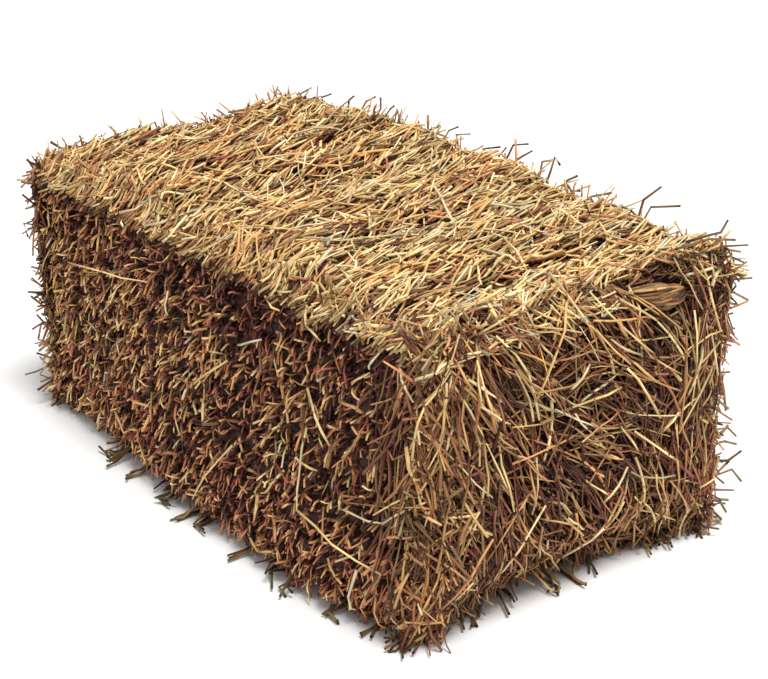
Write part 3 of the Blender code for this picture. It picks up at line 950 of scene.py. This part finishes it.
def near_end_angle(places, rng):
    """The lie of the stems on the near end: that of the photographed stems near them, or else the slant.
    The directions are averaged at double their angles, because a stem's two directions are alike."""
    sideways = np.clip(np.abs(places[:, 0]) / NEAR_HALF_WIDTH, 0, 1)
    slant = 2 * np.radians(END_SLANT + (END_SLANT_SIDES - END_SLANT) * sideways**SLANT_POWER)
    ends = np.array([photo_line(pixels, 0, NEAR_PLANE)[:, 1:] for pixels in NEAR_END_STEMS + NEAR_END_FLOW])
    run = ends[:, 1] - ends[:, 0]
    turned = 2 * np.arctan2(run[:, 1], run[:, 0])
    distance = np.linalg.norm(places[:, None] - ends.mean(axis=1), axis=2)
    weight = np.exp(-((distance / FLOW_REACH) ** 2))
    across = FLOW_BASE * np.cos(slant) + weight @ np.cos(turned)
    up = FLOW_BASE * np.sin(slant) + weight @ np.sin(turned)
    loose = rng.random(len(places)) < LOOSE_SHARE
    return np.degrees(np.arctan2(up, across)) / 2 + np.where(loose, rng.uniform(-90, 90, len(places)), 0)


def clear_of_pocket(path, rng):
    """Which of the stems stay out of the near end's hollow, whose edge is uneven."""
    halfway = (path[:, 1:] + path[:, :-1]) / 2
    offset = (np.concatenate([path, halfway], axis=1) - POCKET_MIDDLE) / POCKET_RADII
    distance = np.linalg.norm(offset, axis=2).min(axis=1)
    return distance > rng.uniform(*POCKET_EDGE, len(path))


def rolled_wisp(bale, rng):
    """The wisp that is rolled up in the near end's hollow: stems side by side round a thick bent bundle."""
    layer = ROLL_LAYER
    each = (ROLL_COUNT, 1)
    t = np.linspace(0, 1, layer.rings)[None, :]
    turn = rng.uniform(-ROLL_TURN, ROLL_TURN, each) + rng.uniform(*ROLL_TWIST, each) * (t - 0.5)
    arch = np.sin(math.pi * t)
    radius = ROLL_RADIUS * (ROLL_NECK + (1 - ROLL_NECK) * arch) * rng.uniform(*ROLL_VARIES, each)
    along = t + rng.uniform(-ROLL_STAGGER, ROLL_STAGGER, each)
    y = ROLL_ENDS_Y[0] + (ROLL_ENDS_Y[1] - ROLL_ENDS_Y[0]) * along
    z = ROLL_ENDS_Z[0] + (ROLL_ENDS_Z[1] - ROLL_ENDS_Z[0]) * along + radius * np.sin(turn)
    x = bale.near.level - ROLL_BEHIND + ROLL_BULGE * arch + radius * np.cos(turn)
    path = np.stack([x, y, z], axis=-1)
    add_layer(bale, layer, path, plain_row(layer, ROLL_COUNT, rng), rng, spare_hollow=False)


def end_straw(bale, side, rng):
    """The long stems that lie crossed on an end of the bale."""
    def angle_of(places):
        turned = 180 * (rng.random(len(places)) < END_TURNED)
        if side is bale.near:
            return near_end_angle(places, rng) + turned
        return rng.uniform(-90, 90, len(places)) + turned

    wisps = Wisps(side, END_WISP, rng)
    for layer in END_LAYERS:
        lay(bale, side, layer, wisps, angle_of, rng)
    stand(bale, side, BROKEN_LAYER, wisps, rng)


def corner_straw(bale, rng):
    """The stems that hang down beside the upright corners, most of them at the near left one."""
    near_left = {(bale.left, True): CORNER_LEFT_ANGLE, (bale.near, False): CORNER_NEAR_ANGLE}
    for side in (bale.left, bale.right, bale.near, bale.far):
        for at_high in (False, True):
            angle = near_left.get((side, at_high), CORNER_ANGLE)
            layer = CORNER_LAYER._replace(wander=CORNER_WANDER)
            widths = CORNER_WIDTHS[:1]
            if (side, at_high) in near_left:
                layer = CORNER_LAYER
                widths = CORNER_WIDTHS
            for width in widths:
                low = side.low.copy()
                high = side.high.copy()
                if at_high:
                    low[0] = high[0] - width
                else:
                    high[0] = low[0] + width
                wisps = Wisps(side, END_WISP, rng)
                lay(bale, side, layer, wisps, lambda places: angle, rng, area=(low, high))


def stray_tips(bale, axis, signs, rng):
    """Loose tips along one edge of the bale. It runs along the axis, and signs tell the other two sides."""
    first, second = [other for other in range(3) if other != axis]
    on_top = axis != 2 and signs[1] > 0
    on_ground = axis != 2 and signs[1] < 0
    lighter = STRAY_TOP_TONE * on_top - STRAY_GROUND_TONE * on_ground
    layer = STRAY_LAYER._replace(tone=STRAY_LAYER.tone + lighter, hue=STRAY_LAYER.hue - PALER * lighter)
    share = STRAY_GROUND_SHARE if on_ground else 1.0
    count = int(STRAY_PER_METRE * share * (bale.body_high[axis] - bale.body_low[axis]))
    start = np.empty((count, 3))
    start[:, axis] = rng.uniform(bale.body_low[axis], bale.body_high[axis], count)
    for other, sign in zip((first, second), signs):
        start[:, other] = bale.body_high[other] if sign > 0 else bale.body_low[other]
    for other, sign in zip((first, second), signs):
        side = bale.sides[other, sign]
        out = side.surface(start[:, side.across], start[:, side.up])
        start[:, other] = sign * (out - rng.uniform(*layer.root, count))
    turn = np.radians(rng.uniform(*STRAY_ANGLES, count))
    heading = np.empty((count, 3))
    heading[:, axis] = STRAY_SLANT * rng.standard_normal(count)
    heading[:, first] = signs[0] * np.cos(turn)
    heading[:, second] = signs[1] * np.sin(turn)
    length = rng.uniform(*layer.length, count)[:, None, None]
    curl = STRAY_CURL * rng.standard_normal((count, 1, 3))
    t = np.linspace(0, 1, layer.rings)[None, :, None]
    path = start[:, None] + length * (heading[:, None] * t + curl * t**2)
    add_layer(bale, layer, path, plain_row(layer, count, rng), rng)


def ground_straw(bale, rng):
    """The flattened straw of the underside."""
    wisps = Wisps(bale.ground, GROUND_WISP, rng)
    wisps.lift[:] = 0
    lay(bale, bale.ground, GROUND_LAYER, wisps, lambda places: GROUND_ANGLE, rng)


def camera_axes():
    """The camera's right, up and backward directions in the world."""
    azimuth = math.radians(CAMERA_AZIMUTH)
    elevation = math.radians(CAMERA_ELEVATION)
    flat = np.array([math.sin(azimuth), -math.cos(azimuth), 0.0])
    back = flat * math.cos(elevation) + np.array([0, 0, math.sin(elevation)])
    right = np.array([math.cos(azimuth), math.sin(azimuth), 0.0])
    return right, np.cross(back, right), back


def photo_point(pixel, axis, place):
    """Where the line of sight through a pixel of the photograph meets the plane at that place on an axis."""
    right, up, back = camera_axes()
    eye = CAMERA_TARGET + back * CAMERA_DISTANCE
    x = (pixel[0] - IMAGE_WIDTH / 2) / FOCAL_PIXELS
    y = (IMAGE_HEIGHT / 2 - pixel[1]) / FOCAL_PIXELS
    ray = right * x + up * y - back
    return eye + ray * (place - eye[axis]) / ray[axis]


def photo_line(pixels, axis, place):
    """Both ends of a photographed stem as points of that plane, from the x, y, x and y of their pixels."""
    return np.array([photo_point(pixels[:2], axis, place), photo_point(pixels[2:], axis, place)])


def outline_tips(bale, axis, place, inward, lines, rng, layer=TIP_LAYER, companions=0):
    """The tips that stand out of the photograph's outline, each in the plane at that place on an axis.
    inward is the direction from there into the straw. Companions are shorter tips beside each."""
    for pixels in lines:
        start, end = photo_line(pixels, axis, place)
        for number in range(1 + companions):
            if number:
                start = start + COMPANION_SPREAD * rng.standard_normal(3)
                share = rng.uniform(*COMPANION_SHARE)
                end = start + (end - start) * share + COMPANION_SPREAD * rng.standard_normal(3)
            root = start + TIP_ROOT * np.array(inward) + TIP_ROOT_VARIES * rng.standard_normal(3)
            path = np.stack([root, (root + start) / 2, start, end])
            path[1:-1] += (end - root) * TIP_BEND
            row = plain_row(layer, 1, rng)
            add_stems(bale, layer, path[None], np.array([TIP_RADIUS]), row, rng, in_place=True)


def photo_stems(bale, side, lines, rng):
    """The stems that stand out in the photograph, laid on top of the others on one side."""
    layer = PHOTO_LAYER
    t = np.linspace(0, 1, layer.rings)[:, None]
    for pixels in lines:
        start, end = photo_line(pixels, side.axis, side.sign * side.level)
        line = start + (end - start) * t
        across = line[:, side.across] + PHOTO_WANDER * rng.standard_normal(layer.rings)
        up = line[:, side.up] + PHOTO_WANDER * rng.standard_normal(layer.rings)
        under = side.surface(across, up)
        straight = np.linspace(under[0], under[-1], layer.rings)
        out = np.maximum(under, straight) + PHOTO_LIFT + PHOTO_ARCH * np.sin(math.pi * t[:, 0])
        row = plain_row(layer, 1, rng)
        add_stems(bale, layer, side.points(across, up, out)[None], rng.uniform(*PHOTO_RADIUS, 1), row, rng)


def packed_sheet(bale, side, flake, rng):
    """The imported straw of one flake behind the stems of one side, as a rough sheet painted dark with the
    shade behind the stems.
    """
    low = side.low + PACKED_INSET
    high = side.high - PACKED_INSET
    if side.axis != 0:
        low[0] = max(low[0], bale.edges_x[flake])
        high[0] = min(high[0], bale.edges_x[flake + 1])
    counts = np.maximum(2, np.rint((high - low) / PACKED_CELL).astype(int) + 1)
    across = np.linspace(low[0], high[0], counts[0])[:, None]
    up = np.linspace(low[1], high[1], counts[1])[None, :]
    across, up = np.broadcast_arrays(across, up)
    depth = PACKED_DEPTH + PACKED_ROUGH * np.sin(across * PACKED_WAVES[0]) * np.sin(up * PACKED_WAVES[1])
    verts = out_of_true(side.points(across, up, side.surface(across, up) - depth)).reshape(1, -1, 3)
    verts[..., 2] = np.maximum(verts[..., 2], PACKED_DEPTH / 2)
    # painted shade: a near-black russet row for the packed straw
    row = colour_row(PACKED_SHADE_TONE, RUSSET)
    corners = ((0, 0), (1, 0), (1, 1), (0, 1))
    faces = []
    uvs = []
    for i in range(counts[0] - 1):
        for j in range(counts[1] - 1):
            faces.append(tuple((i + di) * counts[1] + j + dj for di, dj in corners))
            start = rng.uniform(0, 1 - PACKED_PATCH)
            uvs += [(start + PACKED_PATCH * di, row_height(row, dj)) for di, dj in corners]
    faces_inward = (side.axis == 1) != (side.sign < 0)
    if faces_inward:
        faces = [tuple(reversed(face)) for face in faces]
    bale.add(np.array([flake]), verts, faces, np.array([uvs]), [True] * len(faces))


def packed_straw(bale, rng):
    for flake in range(len(bale.names)):
        for side in (bale.left, bale.right, bale.top, bale.ground):
            packed_sheet(bale, side, flake, rng)
    packed_sheet(bale, bale.far, 0, rng)
    packed_sheet(bale, bale.near, len(bale.names) - 1, rng)


def joined_mesh(name, parts):
    """One mesh of all the stems and sheets of a flake, with its texture coordinates."""
    columns = [[], [], [], [], []]
    start = 0
    for part_verts, faces, part_uvs, part_smooth in parts:
        count, per_stem, _ = part_verts.shape
        offsets = start + per_stem * np.arange(count)[:, None]
        columns[0].append(part_verts.reshape(-1, 3))
        columns[1].append((np.concatenate(faces) + offsets).ravel())
        columns[2].append(np.tile([len(face) for face in faces], count))
        columns[3].append(part_uvs.reshape(-1, 2))
        columns[4].append(np.tile(part_smooth, count))
        start += count * per_stem
    verts, loops, sizes, uvs, smooth = [np.concatenate(column) for column in columns]
    starts = np.concatenate([[0], np.cumsum(sizes)[:-1]])
    mesh = bpy.data.meshes.new(name)
    mesh.vertices.add(len(verts))
    mesh.vertices.foreach_set("co", verts.astype(np.float32).ravel())
    mesh.loops.add(len(loops))
    mesh.loops.foreach_set("vertex_index", loops.astype(np.int32))
    mesh.polygons.add(len(sizes))
    mesh.polygons.foreach_set("loop_start", starts.astype(np.int32))
    mesh.polygons.foreach_set("use_smooth", smooth)
    layer = mesh.uv_layers.new(name="OFBake")
    mesh.update(calc_edges=True)
    layer.data.foreach_set("uv", uvs.astype(np.float32).ravel())
    mesh.validate()
    return mesh


class Nodes:
    """Short ways to add shader nodes to a material."""

    def __init__(self, material):
        self.tree = material.node_tree

    def add(self, kind, **settings):
        node = self.tree.nodes.new(kind)
        for key, value in settings.items():
            setattr(node, key, value)
        return node

    def link(self, value, socket):
        """Puts a number, a colour or another node's output into a socket."""
        if isinstance(value, (int, float)):
            socket.default_value = value
        elif isinstance(value, tuple):
            socket.default_value = (*value, 1.0)
        else:
            self.tree.links.new(value, socket)

    def math(self, operation, first, second=0.0):
        node = self.add("ShaderNodeMath", operation=operation)
        self.link(first, node.inputs[0])
        self.link(second, node.inputs[1])
        return node.outputs[0]

    def times(self, first, second):
        return self.math("MULTIPLY", first, second)

    def between(self, value, low, high, to_low=0.0, to_high=1.0):
        """to_low where the value is low or less, to_high where it is high or more, and smooth between."""
        node = self.add("ShaderNodeMapRange", interpolation_type="SMOOTHSTEP")
        self.link(value, node.inputs["Value"])
        for socket, number in (("From Min", low), ("From Max", high), ("To Min", to_low), ("To Max", to_high)):
            node.inputs[socket].default_value = number
        return node.outputs[0]

    def noise(self, x, y, detail):
        """Noise at the point (x, y), from 0 to 1."""
        point = self.add("ShaderNodeCombineXYZ")
        self.link(x, point.inputs[0])
        self.link(y, point.inputs[1])
        node = self.add("ShaderNodeTexNoise", noise_dimensions="3D")
        self.link(point.outputs[0], node.inputs["Vector"])
        node.inputs["Scale"].default_value = 1.0
        node.inputs["Detail"].default_value = detail
        return node.outputs["Fac"]

    def mix(self, kind, factor, first, second):
        node = self.add("ShaderNodeMix", data_type="RGBA", blend_type=kind)
        for value, number in ((factor, 0), (first, 6), (second, 7)):
            self.link(value, node.inputs[number])
        return node.outputs[2]


def straw_material():
    """Dry straw. The colour row gives lightness and hue, with the painted shade of the deeper layers; fine
    lines run along each stem, and joints, blotches and painted shade at the root vary it along its length."""
    material = bpy.data.materials.new("dry_straw")
    material.use_nodes = True
    nodes = Nodes(material)
    shader = material.node_tree.nodes["Principled BSDF"]
    shader.inputs["Specular IOR Level"].default_value = STRAW_SPECULAR
    place = nodes.add("ShaderNodeUVMap", uv_map="OFBake")
    split = nodes.add("ShaderNodeSeparateXYZ")
    nodes.link(place.outputs[0], split.inputs[0])
    along = split.outputs[0]
    height = nodes.times(split.outputs[1], float(ROWS))
    row = nodes.math("FLOOR", height)
    around = nodes.math("FRACT", height)
    tone_step = nodes.math("FLOOR", nodes.math("DIVIDE", nodes.math("ADD", row, 0.5), float(HUES)))
    hue_step = nodes.math("SUBTRACT", row, nodes.times(tone_step, float(HUES)))
    tone = nodes.math("DIVIDE", tone_step, float(TONES - 1))
    hue = nodes.math("DIVIDE", hue_step, float(HUES - 1))

    ramp = nodes.add("ShaderNodeValToRGB")
    elements = ramp.color_ramp.elements
    for element, (position, colour) in zip(elements, (HUE_COLOURS[0], HUE_COLOURS[-1])):
        element.position = position
        element.color = (*colour, 1.0)
    for position, colour in HUE_COLOURS[1:-1]:
        elements.new(position).color = (*colour, 1.0)
    nodes.link(hue, ramp.inputs[0])

    blotch = nodes.noise(nodes.times(along, BLOTCHES_ALONG), nodes.times(row, ROW_STEP_BLOTCH), 3.0)
    line_at = nodes.math("ADD", nodes.times(around, LINES_AROUND), nodes.times(row, ROW_STEP_LINES))
    lines = nodes.noise(nodes.times(along, LINES_ALONG), line_at, 2.0)
    joint_at = nodes.math("FRACT", nodes.times(row, ROW_STEP_JOINT))
    from_joint = nodes.math("ABSOLUTE", nodes.math("SUBTRACT", along, joint_at))
    joint = nodes.between(from_joint, *JOINT_EDGES, 1.0, 0.0)
    light = nodes.between(tone, 0.0, 1.0, DARKEST, LIGHTEST)
    light = nodes.times(light, nodes.between(blotch, 0.25, 0.75, *BLOTCH_LIGHT))
    light = nodes.times(light, nodes.between(lines, 0.25, 0.75, *LINE_LIGHT))
    # painted shade at the root, which lies deep in the bale
    light = nodes.times(light, nodes.between(along, 0.0, ROOT_END, *ROOT_SHADE))
    grey = nodes.add("ShaderNodeCombineXYZ")
    for axis in range(3):
        nodes.link(light, grey.inputs[axis])
    colour = nodes.mix("MULTIPLY", 1.0, ramp.outputs[0], grey.outputs[0])
    browner = nodes.mix("MULTIPLY", 1.0, colour, BROWNER)
    colour = nodes.mix("MIX", nodes.times(joint, JOINT_BROWN), colour, browner)
    colour = nodes.mix("MIX", nodes.between(blotch, *SPOT_EDGES, 0.0, SPOT_BROWN), colour, browner)
    nodes.link(colour, shader.inputs["Base Color"])
    nodes.link(nodes.between(lines, 0.2, 0.8, *STRAW_ROUGHNESS), shader.inputs["Roughness"])

    relief = nodes.math("ADD", nodes.times(lines, LINE_RELIEF), nodes.times(joint, JOINT_RELIEF))
    bump = nodes.add("ShaderNodeBump")
    bump.inputs["Strength"].default_value = BUMP_STRENGTH
    bump.inputs["Distance"].default_value = BUMP_DISTANCE
    nodes.link(relief, bump.inputs["Height"])
    nodes.link(bump.outputs[0], shader.inputs["Normal"])
    return material


def plain_material(name, colour, roughness):
    material = bpy.data.materials.new(name)
    material.use_nodes = True
    shader = material.node_tree.nodes["Principled BSDF"]
    shader.inputs["Base Color"].default_value = colour
    shader.inputs["Roughness"].default_value = roughness
    return material


def add_floor():
    bpy.ops.mesh.primitive_plane_add(size=FLOOR_SIZE)
    floor = bpy.context.object
    floor.name = "floor"
    floor.data.materials.append(plain_material("studio_floor", FLOOR_COLOUR, 0.9))
    floor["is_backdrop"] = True


def add_light():
    sun = bpy.data.lights.new("soft_key", "SUN")
    sun.energy = SUN_STRENGTH
    sun.angle = math.radians(SUN_ANGLE)
    key = bpy.data.objects.new("soft_key", sun)
    key.rotation_euler = Vector(SUN_DIRECTION).to_track_quat("Z", "Y").to_euler()
    bpy.context.scene.collection.objects.link(key)
    world = bpy.data.worlds.new("studio")
    world.use_nodes = True
    world.node_tree.nodes["Background"].inputs["Color"].default_value = (1.0, 1.0, 1.0, 1.0)
    world.node_tree.nodes["Background"].inputs["Strength"].default_value = SKY_STRENGTH
    bpy.context.scene.world = world


def add_camera():
    _, _, back = camera_axes()
    data = bpy.data.cameras.new("camera")
    data.sensor_width = SENSOR
    data.lens = FOCAL_PIXELS / IMAGE_WIDTH * SENSOR
    camera = bpy.data.objects.new("camera", data)
    camera.location = Vector(CAMERA_TARGET + back * CAMERA_DISTANCE)
    camera.rotation_euler = (math.radians(90 - CAMERA_ELEVATION), 0, math.radians(CAMERA_AZIMUTH))
    bpy.context.scene.collection.objects.link(camera)
    bpy.context.scene.camera = camera


def dress_bale(bale):
    """Lays all the straw, and makes the piece that takes the place of each flake."""
    rng = np.random.default_rng(SEED)
    packed_straw(bale, rng)
    side_straw(bale, bale.left, rng)
    side_straw(bale, bale.right, rng)
    top_straw(bale, rng)
    top_fringe(bale, bale.left, rng)
    top_fringe(bale, bale.right, rng)
    end_straw(bale, bale.near, rng)
    end_straw(bale, bale.far, rng)
    rolled_wisp(bale, rng)
    corner_straw(bale, rng)
    for axis in range(3):
        for signs in ((-1, -1), (-1, 1), (1, -1), (1, 1)):
            stray_tips(bale, axis, signs, rng)
    ground_straw(bale, rng)
    photo_stems(bale, bale.near, NEAR_END_STEMS, rng)
    photo_stems(bale, bale.left, LEFT_SIDE_STEMS, rng)
    photo_stems(bale, bale.top, TOP_STEMS, rng)
    outline_tips(bale, 1, bale.body_high[1], (0, -0.6, -0.9), FAR_EDGE_TIPS, rng)
    outline_tips(bale, 0, bale.body_high[0] - PACKED_DEPTH, (-0.5, -1, 0), RIGHT_EDGE_TIPS, rng)
    outline_tips(bale, 1, bale.body_low[1] + PACKED_DEPTH, (1, 0.5, 0), LEFT_EDGE_TIPS, rng)
    for inward, lines in (((0, 1, 0.3), LEFT_GROUND_TIPS), ((-1, 0, 0.3), NEAR_GROUND_TIPS)):
        outline_tips(bale, 2, GROUND_TIP_HEIGHT, inward, lines, rng, GROUND_TIP_LAYER, GROUND_COMPANIONS)
    material = straw_material()
    for name, parts in zip(bale.names, bale.parts):
        mesh = joined_mesh(name + "_straw", parts)
        mesh.materials.append(material)
        piece = bpy.data.objects.new(name + "_straw", mesh)
        bpy.context.scene.collection.objects.link(piece)
        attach(piece, "root")
        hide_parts(name)


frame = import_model()
add_camera()
add_floor()
add_light()
dress_bale(Bale(frame))
bpy.context.scene.view_settings.view_transform = "Standard"
